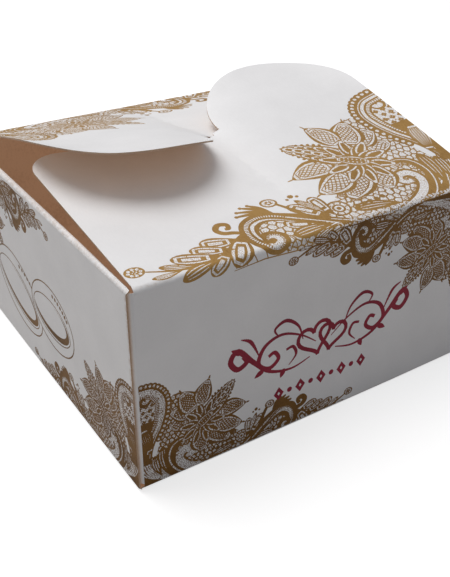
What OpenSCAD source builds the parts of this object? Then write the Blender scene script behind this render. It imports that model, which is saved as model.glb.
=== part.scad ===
// Folding card favour box with an interlocking heart-shaped lid.
// One die-cut sheet of coated card, folded up: four walls round a base, corner tabs behind
// the side walls, side walls that roll over a narrow ridge and hang down inside as liners,
// and two lid flaps whose round lobes lie over each other in the middle.
// Frame: origin at the centre of the underside, +Z up, front wall facing -Y.

/* [Box] */
// Outside width, from side wall to side wall
box_w = 130; // [120:1:140]
// Outside depth, from front wall to back wall
box_d = 130; // [120:1:140]
// Height of the walls
wall_h = 66.5; // [50:0.5:80]

/* [Card] */
// Thickness of the card, which is also the outer radius of a fold
card_t = 0.45; // [0.35:0.05:0.5]
// Free space between a side wall and the corner tab behind it
tab_gap = 0.05; // [0.05:0.01:0.1]

/* [Side walls] */
// Width of the flat ridge that a side wall rolls over, fold to fold on the outside
ridge_w = 2.2; // [2.1:0.05:2.4]
// How far short of the front and back walls a liner stops at each end
liner_end_gap = 4.5; // [4:0.5:10]
// Height of a liner's free edge above the table
liner_foot = 1.6; // [1.2:0.1:5]
// Radius of a liner's two lower corners
liner_corner_r = 3; // [1:0.5:8]

/* [Corner tabs] */
// Length of a corner tab, measured along the side wall
tab_len = 42; // [25:1:50]
// How much lower a tab is at its free end than at its fold
tab_slope = 9; // [3:1:15]

/* [Lid flaps] */
// Gap between a lid flap's straight edge and the outside of the side wall
lid_inset = 2.5; // [2.5:0.1:3]
// Distance from the lobe's inner end to the middle of the box
neck_gap = 4.2; // [3.6:0.1:5]
// Half the length of the short edge to edge stretch where the two flaps cross
cross_half = 1.3; // [1.3:0.1:2]
// How far that stretch stops short of the middle of the box
cross_short = 0.4; // [0.4:0.05:1]
// Reach of the shoulder, beyond the middle of the box
shoulder_reach = 8.5; // [5:0.5:9]
// Radius of the shoulder's outer corner
shoulder_r = 11; // [8:1:14]
// Upward tilt of the lid where the two flaps cross, in degrees
cross_tilt = 6; // [5.5:0.1:6.5]
// Extra tilt of a lobe away from the crossing, in degrees
lobe_lift = 5.7; // [5.2:0.1:6]
// Extra tilt of a lobe's free outer edge, in degrees
edge_curl = 3.6; // [3:0.1:4]
// Extra tilt of a shoulder's outer edge, in degrees
shoulder_lift = 2; // [1:0.1:2]
// Height of the bow in the front flap's outer edge
front_bow = 0.4; // [0:0.1:1]
// Height of the bow in the back flap's outer edge
back_bow = 1.8; // [1:0.1:2.2]

/* [Hidden] */
$fn = 48;

white = [0.87, 0.86, 0.86];
kraft = [0.52, 0.39, 0.29];
fold_white = [0.93, 0.92, 0.91];

// A fold's bead is as thick in radius as the card, and touches both outer faces of the corner.
bead_r = card_t;
// A flat panel starts this far from the middle of its bead.
panel_start = bead_r / 2;
// A panel that swings starts this far from its axis, so that it turns free of the panel beside it.
swing_start = 0.8;

half_w = box_w / 2;
half_d = box_d / 2;
// Heights of the middles of the beads along the base and along the top
low_z = bead_r;
top_z = wall_h - bead_r;
// Places of the beads' middles: base folds, corner folds and the two folds of a ridge
side_x = half_w - bead_r;
end_y = half_d - bead_r;
corner_x = half_w - card_t - tab_gap - bead_r;
liner_x = half_w - ridge_w + bead_r;
// Lengths of the beads
side_bead = box_d - 1.2;
end_bead = box_w - 3;
lid_bead = box_w - 2 * lid_inset - 0.4;
corner_bead = wall_h - 4;
ridge_bead = box_d - 1.4;

// A bead of folded card lying along Y, along X, or standing up
module bead_y(x, z, len) {
    translate([x, 0, z]) rotate([90, 0, 0]) cylinder(h = len, r = bead_r, center = true);
}
module bead_x(y, z, len) {
    translate([0, y, z]) rotate([0, 90, 0]) cylinder(h = len, r = bead_r, center = true);
}
module bead_z(x, y, len) {
    translate([x, y, wall_h / 2]) cylinder(h = len, r = bead_r, center = true);
}

// An outline drawn in X and Z becomes a sheet whose outer face is at y = -half_d.
module front_sheet() {
    translate([0, card_t - half_d, 0]) rotate([90, 0, 0]) linear_extrude(card_t) children();
}
// An outline drawn in Y and Z becomes a sheet from x0 to x0 + card_t.
module side_sheet(x0) {
    translate([x0, 0, 0]) rotate([90, 0, 90]) linear_extrude(card_t) children();
}

// The base is the middle of the sheet, held between four folds.
module base_panel() {
    x = side_x - panel_start;
    y = end_y - panel_start;
    color(white) difference() {
        translate([-x, -y, 0]) cube([2 * x, 2 * y, card_t]);
        for (s = [-1, 1]) {
            bead_x(s * end_y, low_z, end_bead);
            bead_y(s * side_x, low_z, side_bead);
        }
    }
}
module end_base_crease() {
    color(fold_white) bead_x(-end_y, low_z, end_bead);
}
module side_base_crease() {
    color(fold_white) bead_y(-side_x, low_z, side_bead);
}

// Front and back walls: the top corners are nicked to clear the ridges.
module end_wall() {
    x = corner_x - panel_start;
    nick = 1.4;
    color(white) difference() {
        front_sheet() polygon([
            [-x, low_z + panel_start], [x, low_z + panel_start],
            [x, top_z - panel_start - nick], [lid_bead / 2 + 0.1, top_z - panel_start],
            [-lid_bead / 2 - 0.1, top_z - panel_start], [-x, top_z - panel_start - nick]
        ]);
        bead_x(-end_y, low_z, end_bead);
        bead_x(-end_y, top_z, lid_bead);
        for (s = [-1, 1]) bead_z(s * corner_x, -end_y, corner_bead);
    }
}

// A side wall stands outside the tabs, and its upright edges are bare cut card.
module side_wall() {
    y = half_d - 0.1;
    chamfer = 0.8;
    low = low_z + panel_start;
    high = top_z - panel_start;
    color(white) difference() {
        side_sheet(-half_w) polygon([
            [-y + chamfer, low], [y - chamfer, low], [y, low + chamfer],
            [y, high - chamfer], [y - chamfer, high], [-y + chamfer, high],
            [-y, high - chamfer], [-y, low + chamfer]
        ]);
        bead_y(-side_x, low_z, side_bead);
        bead_y(-side_x, top_z, ridge_bead);
    }
}

// A corner tab turns back from an end wall and stands behind the side wall, tapered top and bottom.
module corner_crease() {
    color(fold_white) bead_z(-corner_x, -end_y, corner_bead);
}
module corner_tab() {
    y0 = -end_y + panel_start;
    y1 = -end_y + tab_len;
    foot = 2.2;
    color(kraft) difference() {
        side_sheet(-corner_x - bead_r) polygon([
            [y0, foot], [y1, foot + tab_slope / 3],
            [y1, top_z - 2 - tab_slope], [y0, top_z - 2]
        ]);
        bead_z(-corner_x, -end_y, corner_bead);
    }
}

// The ridge is the narrow flat between the two folds along the top of a side wall.
module ridge_crease() {
    color(fold_white) bead_y(-side_x, top_z, ridge_bead);
}
module ridge() {
    y = half_d - 0.8;
    color(white) difference() {
        translate([-side_x + panel_start, -y, wall_h - card_t])
            cube([side_x - liner_x - 2 * panel_start, 2 * y, card_t]);
        bead_y(-side_x, top_z, ridge_bead);
        bead_y(-liner_x, top_z, ridge_bead);
    }
}
module liner_crease() {
    color(fold_white) bead_y(-liner_x, top_z, ridge_bead);
}

// The liner hangs from the inner fold. Its white side faces into the box, and its brown side
// faces the tabs.
module liner() {
    y = half_d - liner_end_gap;
    color(white) side_sheet(-half_w + ridge_w - card_t) union() {
        translate([-y, liner_foot + liner_corner_r])
            square([2 * y, top_z - swing_start - liner_foot - liner_corner_r]);
        hull() for (s = [-1, 1])
            translate([s * (y - liner_corner_r), liner_foot + liner_corner_r]) circle(liner_corner_r);
    }
}

// Lid flap. s runs across the box from the outside of the wall on the lobe's side,
// and v runs out from the lid fold along the card.
lobe_r = (half_w - lid_inset - neck_gap) / 2;
lobe_s = lid_inset + lobe_r;
lobe_v = half_d + 1;
cross_v = half_d - cross_short;
rise_s = half_w + cross_half;
shoulder_s = box_w - lid_inset - shoulder_r;
shoulder_v = half_d + shoulder_reach;

// The free edge: half round lobe, a short tongue, the crossing, a long easy rise, and the
// rounded shoulder
free_edge = concat(
    [for (a = [0:7.5:180]) [lobe_s - lobe_r * cos(a), lobe_v + lobe_r * sin(a)]],
    [[half_w - cross_half - 0.5, lobe_v], [half_w - cross_half, cross_v]],
    [for (k = [0:0.125:0.875])
        [rise_s + (shoulder_s - rise_s) * k,
         cross_v + (shoulder_v - cross_v) * (1 - cos(180 * k)) / 2]],
    [for (b = [0:10:90])
        [shoulder_s + shoulder_r * sin(b), shoulder_v - shoulder_r * (1 - cos(b))]]
);

// Share of the way from the outside of the wall to the middle of the box, and on past it
function across(s) = s / half_w;
// Tilt of the card at s: highest at the lobe's free outer edge, lowest where the flaps cross
function tilt(s) = across(s) < 1
    ? cross_tilt + lobe_lift * (1 - pow(across(s), 5)) + edge_curl * pow(1 - across(s), 6)
    : cross_tilt + shoulder_lift * pow(across(s) - 1, 1.5);
// A lobe also bows up a little between its fold and its tip
function rise(s, v, bow) = across(s) < 1
    ? 4 * bow * (1 - across(s)) * v / half_d / 1.4 * (1 - v / half_d / 1.4)
    : 0;
function lid_point(s, v, bow, face) = [
    half_w - s,
    v * cos(tilt(s)) - face * card_t / 2 * sin(tilt(s)) - end_y,
    v * sin(tilt(s)) + face * card_t / 2 * cos(tilt(s)) + rise(s, v, bow) + top_z
];

rows = 6;
module lid_flap(bow) {
    n = len(free_edge);
    m = rows + 1;
    // index of a point: column i across, row j out from the fold, and layer 0 above or 1 below
    function at(i, j, layer) = (layer * n + i) * m + j;
    points = [for (face = [1, -1]) for (e = free_edge) for (j = [0:rows])
        lid_point(e[0], swing_start + (e[1] - swing_start) * j / rows, bow, face)];
    upper = [for (i = [0:n - 2]) for (j = [0:rows - 1]) each [
        [at(i, j, 0), at(i + 1, j, 0), at(i + 1, j + 1, 0)],
        [at(i, j, 0), at(i + 1, j + 1, 0), at(i, j + 1, 0)]
    ]];
    lower = [for (i = [0:n - 2]) for (j = [0:rows - 1]) each [
        [at(i, j, 1), at(i + 1, j + 1, 1), at(i + 1, j, 1)],
        [at(i, j, 1), at(i, j + 1, 1), at(i + 1, j + 1, 1)]
    ]];
    root = [for (i = [0:n - 2]) each [
        [at(i, 0, 0), at(i, 0, 1), at(i + 1, 0, 1)],
        [at(i, 0, 0), at(i + 1, 0, 1), at(i + 1, 0, 0)]
    ]];
    tip = [for (i = [0:n - 2]) each [
        [at(i, rows, 0), at(i + 1, rows, 0), at(i + 1, rows, 1)],
        [at(i, rows, 0), at(i + 1, rows, 1), at(i, rows, 1)]
    ]];
    lobe_side = [for (j = [0:rows - 1]) each [
        [at(0, j, 0), at(0, j + 1, 0), at(0, j + 1, 1)],
        [at(0, j, 0), at(0, j + 1, 1), at(0, j, 1)]
    ]];
    shoulder_side = [for (j = [0:rows - 1]) each [
        [at(n - 1, j, 0), at(n - 1, j, 1), at(n - 1, j + 1, 1)],
        [at(n - 1, j, 0), at(n - 1, j + 1, 1), at(n - 1, j + 1, 0)]
    ]];
    color(white) polyhedron(points, concat(upper, lower, root, tip, lobe_side, shoulder_side));
}
module lid_crease() {
    color(fold_white) bead_x(-end_y, top_z, lid_bead);
}

// Every piece is drawn at the front or on the left, and mirrored or turned to its place.
module at_right() { mirror([1, 0, 0]) children(); }
module at_back() { mirror([0, 1, 0]) children(); }
module turned() { rotate([0, 0, 180]) children(); }

base_panel();
end_base_crease();  // front_base_crease
at_back() end_base_crease();  // back_base_crease
side_base_crease();  // left_base_crease
at_right() side_base_crease();  // right_base_crease
end_wall();  // front_wall
at_back() end_wall();  // back_wall
side_wall();  // left_wall
at_right() side_wall();  // right_wall
corner_crease();  // front_left_corner_crease
at_right() corner_crease();  // front_right_corner_crease
at_back() corner_crease();  // back_left_corner_crease
turned() corner_crease();  // back_right_corner_crease
corner_tab();  // front_left_tab
at_right() corner_tab();  // front_right_tab
at_back() corner_tab();  // back_left_tab
turned() corner_tab();  // back_right_tab
ridge_crease();  // left_ridge_crease
at_right() ridge_crease();  // right_ridge_crease
ridge();  // left_ridge
at_right() ridge();  // right_ridge
liner_crease();  // left_liner_crease
at_right() liner_crease();  // right_liner_crease
liner();  // left_liner
at_right() liner();  // right_liner
lid_crease();  // front_lid_crease
at_back() lid_crease();  // back_lid_crease
lid_flap(front_bow);  // front_lid_flap
turned() lid_flap(back_bow);  // back_lid_flap
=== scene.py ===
# A folding card favour box: one die-cut sheet of white coated kraft card, printed with a bronze
# lace ornament, folded up and closed by two lid flaps whose round lobes lie over each other.
from math import cos, floor, hypot, pi, radians, sin, sqrt, tan

import bpy
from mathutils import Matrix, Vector
from mathutils.geometry import delaunay_2d_cdt


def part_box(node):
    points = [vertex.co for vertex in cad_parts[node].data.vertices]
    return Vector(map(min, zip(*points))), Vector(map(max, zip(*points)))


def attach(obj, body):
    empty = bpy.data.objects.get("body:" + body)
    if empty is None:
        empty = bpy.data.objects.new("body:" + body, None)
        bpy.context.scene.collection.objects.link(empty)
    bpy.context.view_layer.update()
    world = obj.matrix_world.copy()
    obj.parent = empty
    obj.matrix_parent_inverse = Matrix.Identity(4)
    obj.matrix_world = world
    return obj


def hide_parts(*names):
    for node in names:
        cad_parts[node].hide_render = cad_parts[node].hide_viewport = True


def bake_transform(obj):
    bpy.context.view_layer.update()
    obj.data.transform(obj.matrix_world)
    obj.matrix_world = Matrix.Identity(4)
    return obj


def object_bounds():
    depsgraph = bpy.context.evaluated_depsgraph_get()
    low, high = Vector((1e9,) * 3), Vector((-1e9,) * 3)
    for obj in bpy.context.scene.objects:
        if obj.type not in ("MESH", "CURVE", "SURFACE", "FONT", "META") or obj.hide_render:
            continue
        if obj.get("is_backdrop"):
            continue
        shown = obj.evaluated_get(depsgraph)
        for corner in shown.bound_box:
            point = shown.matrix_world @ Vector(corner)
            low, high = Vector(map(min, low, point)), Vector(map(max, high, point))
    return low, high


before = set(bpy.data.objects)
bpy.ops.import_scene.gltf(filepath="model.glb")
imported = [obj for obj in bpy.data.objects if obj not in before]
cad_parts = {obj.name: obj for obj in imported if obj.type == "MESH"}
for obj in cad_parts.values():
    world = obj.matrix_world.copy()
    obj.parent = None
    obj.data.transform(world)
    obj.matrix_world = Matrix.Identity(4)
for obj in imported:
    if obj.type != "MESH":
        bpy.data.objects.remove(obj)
cad_low, cad_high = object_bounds()


# ------------ table, lamp light and view
# The box stands on a plain pale table under one wide soft lamp, hung a little behind it and to
# its left, so that the lid is bright, the left wall grey and the front wall in shade.
MM = 0.001
half_w = cad_high.x / MM
half_d = cad_high.y / MM
wall_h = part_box("left_ridge")[1].z / MM

VIEW_TURN = radians(-32.905)
VIEW_TILT = radians(30.57)
VIEW_FROM = Vector((-136.7, -220.6, 167.7)) * MM
LENS_MM = 50.54


def added(name, data):
    """A new object in the scene."""
    thing = bpy.data.objects.new(name, data)
    bpy.context.scene.collection.objects.link(thing)
    return thing


camera = added("view", bpy.data.cameras.new("view"))
view_back = Vector((
    sin(VIEW_TURN) * cos(VIEW_TILT),
    -cos(VIEW_TURN) * cos(VIEW_TILT),
    sin(VIEW_TILT),
))
camera.location = VIEW_FROM
camera.rotation_mode = "QUATERNION"
camera.rotation_quaternion = (-view_back).to_track_quat("-Z", "Y")
camera.data.lens = LENS_MM
camera.data.sensor_width = 36
camera.data.clip_start = 0.01
camera.data.clip_end = 20
bpy.context.scene.camera = camera
bpy.context.scene.view_settings.view_transform = "Standard"


def lamp(name, place, aim, size, watts, tint):
    light = added(name, bpy.data.lights.new(name, "AREA"))
    light.location = place
    light.rotation_mode = "QUATERNION"
    light.rotation_quaternion = (Vector(aim) - Vector(place)).to_track_quat("-Z", "Y")
    light.data.shape = "DISK"
    light.data.size = size
    light.data.energy = watts
    light.data.color = tint


lamp("wide_lamp", (-0.2, 0.31, 0.95), (0, 0, 0.05), 0.75, 7.15, (1.0, 0.985, 0.97))
lamp("left_lamp", (-1.1, -0.15, 0.5), (0, 0, 0.04), 0.6, 0.35, (0.97, 0.985, 1.0))



def seen_or_met(tree, seen, met, surface):
    """Joins two looks to a surface: one for what the camera sees, one for all other light."""
    pick = tree.nodes.new("ShaderNodeMixShader")
    rays = tree.nodes.new("ShaderNodeLightPath")
    tree.links.new(rays.outputs["Is Camera Ray"], pick.inputs[0])
    tree.links.new(met.outputs[0], pick.inputs[1])
    tree.links.new(seen.outputs[0], pick.inputs[2])
    tree.links.new(pick.outputs[0], surface)


world = bpy.data.worlds.new("room")
bpy.context.scene.world = world
world.use_nodes = True
nodes = world.node_tree.nodes
room = nodes["Background"]
room.inputs["Color"].default_value = (0.95, 0.96, 1.0, 1)
room.inputs["Strength"].default_value = 0.345
backdrop = nodes.new("ShaderNodeBackground")
backdrop.inputs["Color"].default_value = (1, 1, 1, 1)
backdrop.inputs["Strength"].default_value = 1.0
seen_or_met(world.node_tree, backdrop, room, nodes["World Output"].inputs["Surface"])

TABLE_REACH = 3
TABLE_DROP = 0.0001
table_mesh = bpy.data.meshes.new("table")
table_mesh.from_pydata(
    [(x * TABLE_REACH, y * TABLE_REACH, 0) for x, y in ((-1, -1), (1, -1), (1, 1), (-1, 1))],
    [], [(0, 1, 2, 3)],
)
table = added("table", table_mesh)
table.location.z = -TABLE_DROP
table_top = bpy.data.materials.new("pale_table")
table_top.use_nodes = True
nodes, links = table_top.node_tree.nodes, table_top.node_tree.links
nodes.remove(nodes["Principled BSDF"])
table_lit = nodes.new("ShaderNodeBsdfDiffuse")
table_lit.inputs["Color"].default_value = (0.5, 0.5, 0.5, 1)
table_glow = nodes.new("ShaderNodeEmission")
table_glow.inputs["Strength"].default_value = 0.68
table_shown = nodes.new("ShaderNodeAddShader")
table_bounce = nodes.new("ShaderNodeBsdfDiffuse")
table_bounce.inputs["Color"].default_value = (0.46, 0.44, 0.42, 1)
links.new(table_lit.outputs[0], table_shown.inputs[0])
links.new(table_glow.outputs[0], table_shown.inputs[1])
seen_or_met(table_top.node_tree, table_shown, table_bounce,
            nodes["Material Output"].inputs["Surface"])
table_mesh.materials.append(table_top)
table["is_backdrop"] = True


# ------------ base panel
# The middle of the sheet: coated card, white and satin outside, bare brown kraft inside, with
# cut edges where the brown core shows. Every other panel is cut from this same card.
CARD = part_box("base_panel")[1].z / MM
FOLD_R = 1.0


def effect(name, inputs, outputs):
    """An empty node group with named number sockets, ready to be filled."""
    group = bpy.data.node_groups.new(name, "ShaderNodeTree")
    for socket, default in inputs:
        made = group.interface.new_socket(socket, in_out="INPUT", socket_type="NodeSocketFloat")
        made.default_value = default
    for socket in outputs:
        group.interface.new_socket(socket, in_out="OUTPUT", socket_type="NodeSocketFloat")
    enter = group.nodes.new("NodeGroupInput")
    leave = group.nodes.new("NodeGroupOutput")
    return group, enter, leave


def put(tree, kind, **values):
    """A new node with the values of its inputs set, and _ for each space in their names."""
    node = tree.nodes.new("ShaderNode" + kind)
    for socket, value in values.items():
        node.inputs[socket.replace("_", " ")].default_value = value
    return node


def fibre_effect():
    """Paper fibres: long soft streaks at two sizes, as a shade and a height."""
    group, enter, leave = effect(
        "card_fibre", [("Streak Size", 900.0), ("Depth", 0.5)], ["Shade", "Height"],
    )
    new, join = group.nodes.new, group.links.new
    place = new("ShaderNodeTexCoord")
    stretch = put(group, "Mapping", Scale=(1.0, 0.42, 0.8))
    join(place.outputs["Object"], stretch.inputs["Vector"])
    streaks = put(group, "TexNoise", Detail=5, Roughness=0.62)
    join(stretch.outputs[0], streaks.inputs["Vector"])
    join(enter.outputs["Streak Size"], streaks.inputs["Scale"])
    clouds = put(group, "TexNoise", Scale=60, Detail=3)
    join(place.outputs["Object"], clouds.inputs["Vector"])
    mixed = new("ShaderNodeMath")
    mixed.operation = "MULTIPLY_ADD"
    join(streaks.outputs["Fac"], mixed.inputs[0])
    join(enter.outputs["Depth"], mixed.inputs[1])
    join(clouds.outputs["Fac"], mixed.inputs[2])
    join(mixed.outputs[0], leave.inputs["Shade"])
    join(streaks.outputs["Fac"], leave.inputs["Height"])
    return group


card_fibre = fibre_effect()


def wear_effect():
    """Scuffs along the folds: patches where two outer faces of the box meet."""
    group, enter, leave = effect(
        "fold_wear",
        [("Reach", 0.0009), ("Amount", 0.5), ("Half Width", half_w * MM),
         ("Half Depth", half_d * MM), ("Height", wall_h * MM)],
        ["Mask"],
    )
    new, join = group.nodes.new, group.links.new
    place = new("ShaderNodeTexCoord")
    axes = new("ShaderNodeSeparateXYZ")
    join(place.outputs["Object"], axes.inputs[0])

    def work(operation, *values, clamp=False):
        node = new("ShaderNodeMath")
        node.operation = operation
        node.use_clamp = clamp
        for socket, value in zip(node.inputs, values):
            if isinstance(value, (int, float)):
                socket.default_value = value
            else:
                join(value, socket)
        return node.outputs[0]

    def nearness(gap):
        """1 on a face, falling to 0 at Reach from it."""
        return work("SUBTRACT", 1.0, work("DIVIDE", gap, enter.outputs["Reach"], clamp=True))
    gaps = [
        work("SUBTRACT", enter.outputs[size], work("ABSOLUTE", axes.outputs[axis]), clamp=True)
        for size, axis in (("Half Width", "X"), ("Half Depth", "Y"))
    ]
    top_gap = work("ABSOLUTE", work("SUBTRACT", enter.outputs["Height"], axes.outputs["Z"]))
    foot_gap = work("MAXIMUM", axes.outputs["Z"], 0.0)
    near = [nearness(g) for g in (*gaps, work("MINIMUM", top_gap, foot_gap))]
    pairs = [work("MULTIPLY", near[a], near[b]) for a, b in ((0, 1), (0, 2), (1, 2))]
    along = work("MAXIMUM", pairs[0], work("MAXIMUM", pairs[1], pairs[2]))
    patches = put(group, "TexNoise", Scale=700, Detail=5, Roughness=0.7)
    join(place.outputs["Object"], patches.inputs["Vector"])
    worn = work("MULTIPLY_ADD", patches.outputs["Fac"], 2.4, -0.95, clamp=True)
    mask = work("MULTIPLY", work("MULTIPLY", along, worn), enter.outputs["Amount"], clamp=True)
    join(mask, leave.inputs["Mask"])
    return group


fold_wear = wear_effect()


def tint(material, mask, colour):
    """Lays a colour over a material's own, as strongly as the mask says."""
    new, join = material.node_tree.nodes.new, material.node_tree.links.new
    base_colour = material.node_tree.nodes["Principled BSDF"].inputs["Base Color"]
    mix = new("ShaderNodeMix")
    mix.data_type = "RGBA"
    mix.inputs["B"].default_value = (*colour, 1)
    join(mask, mix.inputs["Factor"])
    join(base_colour.links[0].from_socket, mix.inputs["A"])
    join(mix.outputs["Result"], base_colour)


def card_face(name, dark, light, spread, streak, depth, bump, rough, specular, painted_glow=0.0):
    """A material coloured between two tones by the card's fibres, and roughened with them. The
    painted glow is painted light: the face gives off a little light in its own colour."""
    material = bpy.data.materials.new(name)
    material.use_nodes = True
    new, join = material.node_tree.nodes.new, material.node_tree.links.new
    shader = material.node_tree.nodes["Principled BSDF"]
    shader.inputs["Specular IOR Level"].default_value = specular
    fibre = new("ShaderNodeGroup")
    fibre.node_tree = card_fibre
    fibre.inputs["Streak Size"].default_value = streak
    fibre.inputs["Depth"].default_value = depth
    tones = new("ShaderNodeValToRGB")
    tones.color_ramp.elements[0].position = spread[0]
    tones.color_ramp.elements[0].color = (*dark, 1)
    tones.color_ramp.elements[1].position = spread[1]
    tones.color_ramp.elements[1].color = (*light, 1)
    join(fibre.outputs["Shade"], tones.inputs[0])
    join(tones.outputs[0], shader.inputs["Base Color"])
    if painted_glow:
        join(tones.outputs[0], shader.inputs["Emission Color"])
        shader.inputs["Emission Strength"].default_value = painted_glow
    gloss = put(material.node_tree, "MapRange", From_Min=spread[0], From_Max=spread[1],
                To_Min=rough[0], To_Max=rough[1])
    join(fibre.outputs["Shade"], gloss.inputs["Value"])
    join(gloss.outputs[0], shader.inputs["Roughness"])
    relief = put(material.node_tree, "Bump", Strength=bump, Distance=0.00004)
    join(fibre.outputs["Height"], relief.inputs["Height"])
    join(relief.outputs[0], shader.inputs["Normal"])
    return material


def white_face(name, specular):
    """The card's coated face, with a given shine."""
    return card_face(
        name, (0.79, 0.785, 0.79), (0.86, 0.855, 0.86), spread=(0.45, 1.0), streak=1500,
        depth=0.45, bump=0.25, rough=(0.5, 0.42), specular=specular,
    )


white_coat = white_face("white_coat", 0.4)
wear = white_coat.node_tree.nodes.new("ShaderNodeGroup")
wear.node_tree = fold_wear
wear.inputs["Amount"].default_value = 1.8
wear.inputs["Reach"].default_value = 0.0013
tint(white_coat, wear.outputs["Mask"], (0.50, 0.40, 0.32))
# The kraft face has a painted glow: painted light that brightens the inside of the box.
kraft_back = card_face(
    "kraft_back", (0.47, 0.295, 0.18), (0.66, 0.46, 0.31), spread=(0.35, 1.5), streak=1100,
    depth=0.9, bump=0.8, rough=(0.95, 0.8), specular=0.15, painted_glow=0.15,
)
cut_edge = card_face(
    "cut_edge", (0.26, 0.15, 0.09), (0.52, 0.38, 0.28), spread=(0.55, 1.1), streak=2600,
    depth=1.0, bump=1.0, rough=(1.0, 0.85), specular=0.1,
)
SPECK = 0.002
WELD = 0.0005


def flat_cut(outline, shapes, cell):
    """Cuts a flat outline into triangles that follow every printed shape laid over it, and a
    grid for bending. Returns the points, the triangles, and each triangle's ink. Shapes smaller
    than a speck are left out, and points closer than the weld are joined."""
    turn = sum(
        outline[i - 1][0] * outline[i][1] - outline[i][0] * outline[i - 1][1]
        for i in range(len(outline))
    )
    points = [Vector(p) for p in (outline if turn > 0 else outline[::-1])]
    faces = [list(range(len(points)))]
    inks = [0]
    low = Vector((min(p[0] for p in outline), min(p[1] for p in outline)))
    high = Vector((max(p[0] for p in outline), max(p[1] for p in outline)))
    for shape, ink in shapes:
        xs = [p[0] for p in shape]
        ys = [p[1] for p in shape]
        if max(xs) < low.x or min(xs) > high.x or max(ys) < low.y or min(ys) > high.y:
            continue
        area = sum(xs[i - 1] * ys[i] - xs[i] * ys[i - 1] for i in range(len(shape)))
        if abs(area) < SPECK:
            continue
        first = len(points)
        points += [Vector(p) for p in (shape if area > 0 else shape[::-1])]
        faces.append(list(range(first, first + len(shape))))
        inks.append(ink)
    across, along = (max(1, round((high[k] - low[k]) / cell[k])) for k in (0, 1))
    for i in range(1, across):
        for j in range(1, along):
            points.append(Vector((
                low.x + (high.x - low.x) * i / across,
                low.y + (high.y - low.y) * j / along,
            )))
    spots, _, cut, _, _, owners = delaunay_2d_cdt(points, [], faces, 0, WELD, True)

    def showing(own):
        """The ink laid last. A number below 0 is a net, which only shows over other ink."""
        last = inks[max(own)]
        if last < 0:
            return -last if any(inks[i] > 0 for i in own) else 0
        return last
    kept = [(f, showing(own)) for f, own in zip(cut, owners) if 0 in own]
    return spots, [f for f, _ in kept], [ink for _, ink in kept]


def rim_of(triangles):
    """The outline of a set of triangles, in order, as point numbers."""
    onward = {}
    edges = {(f[k], f[(k + 1) % 3]) for f in triangles for k in range(3)}
    for a, b in edges:
        if (b, a) not in edges:
            onward[a] = b
    start = min(onward)
    rim = [start]
    while onward[rim[-1]] != start:
        rim.append(onward[rim[-1]])
    return rim


def cut_card(name, outline, place, shapes=(), cell=(6.0, 6.0), inks=()):
    """One panel of the card as a closed sheet: a printed white face, a kraft face and the cut
    edge between them. place(a, b, depth) lays a point of the flat panel in the box, in
    millimetres, at depth 0 on the white face and 1 on the kraft face."""
    spots, front, face_ink = flat_cut(outline, shapes, cell)
    rim = rim_of(front)
    used = sorted({i for f in front for i in f})
    number = {old: new for new, old in enumerate(used)}
    flat = [spots[i] for i in used]
    verts = [place(p.x, p.y, 0.0) for p in flat]
    faces = [[number[i] for i in f] for f in front]
    slots = [2 + ink if ink else 0 for ink in face_ink]
    rim_flat = [spots[i] for i in rim]
    back_spots, back_cut, _ = flat_cut([tuple(p) for p in rim_flat], (), cell)
    base = len(verts)
    inside = sorted({i for f in back_cut for i in f} - set(range(len(rim))))
    behind = {old: new for new, old in enumerate([*range(len(rim)), *inside])}
    flat += [back_spots[i] for i in behind]
    verts += [place(p.x, p.y, 1.0) for p in flat[base:]]
    faces += [[base + behind[i] for i in reversed(f)] for f in back_cut]
    slots += [1] * len(back_cut)
    face_count = len(faces)
    for k in range(len(rim)):
        a, b = rim[k], rim[(k + 1) % len(rim)]
        c, d = base + k, base + (k + 1) % len(rim)
        faces.append([number[a], c, d, number[b]])
        slots.append(2)
    mesh = bpy.data.meshes.new(name)
    mesh.from_pydata([Vector(v) * MM for v in verts], [], faces)
    for material in (white_coat, kraft_back, cut_edge, *inks):
        mesh.materials.append(material)
    mesh.polygons.foreach_set("material_index", slots)
    mesh.polygons.foreach_set("use_smooth", [True] * len(faces))
    normals = []
    for i, p in enumerate(flat):
        depth = 0.0 if i < base else 1.0
        step = 0.02
        here_a = Vector(place(p.x + step, p.y, depth)) - Vector(place(p.x - step, p.y, depth))
        here_b = Vector(place(p.x, p.y + step, depth)) - Vector(place(p.x, p.y - step, depth))
        out = here_a.cross(here_b).normalized()
        normals.append(out if i < base else -out)
    corners = []
    for n, face in enumerate(faces):
        if n < face_count:
            corners += [normals[i] for i in face]
        else:
            corners += [mesh.polygons[n].normal.copy()] * len(face)
    mesh.normals_split_custom_set(corners)
    mesh.update()
    return added(name, mesh)


def settle(piece, body, node):
    """Fixes a finished panel to its body, in place of the plain CAD one."""
    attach(piece, body)
    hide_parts(node)


def turned(place):
    """The same place on the opposite side of the box, half a turn round."""
    def opposite(a, b, depth):
        x, y, z = place(a, b, depth)
        return -x, -y, z
    return opposite


def oblong(a0, b0, a1, b1, steps=1):
    """A rectangle, its long sides cut into steps."""
    lower = [(a0 + (a1 - a0) * k / steps, b0) for k in range(steps + 1)]
    upper = [(a1 + (a0 - a1) * k / steps, b1) for k in range(steps + 1)]
    return lower + upper


def base_place(a, b, depth):
    return a, -b, depth * CARD


base_card = cut_card(
    "base_card",
    oblong(FOLD_R - half_w, FOLD_R - half_d, half_w - FOLD_R, half_d - FOLD_R),
    base_place, cell=(20, 20),
)
settle(base_card, "box", "base_panel")


# ------------ folds at the base
# Four creases join the base to the walls. The card turns a right angle over about a
# millimetre and a half, and the white coat stays whole over it.
BASE_FOLD_LEN = pi / 2 * FOLD_R
END_TRIM, SIDE_TRIM = 1.6, 0.5


def quarter_turn(b, depth, radius):
    """A fold from lying outward to standing up: distance out and up from the fold's centre."""
    angle = b / radius
    reach = radius - depth * CARD
    return sin(angle) * reach, -cos(angle) * reach


def end_base_place(a, b, depth):
    out, up = quarter_turn(b, depth, FOLD_R)
    return a, -(half_d - FOLD_R + out), FOLD_R + up


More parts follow.
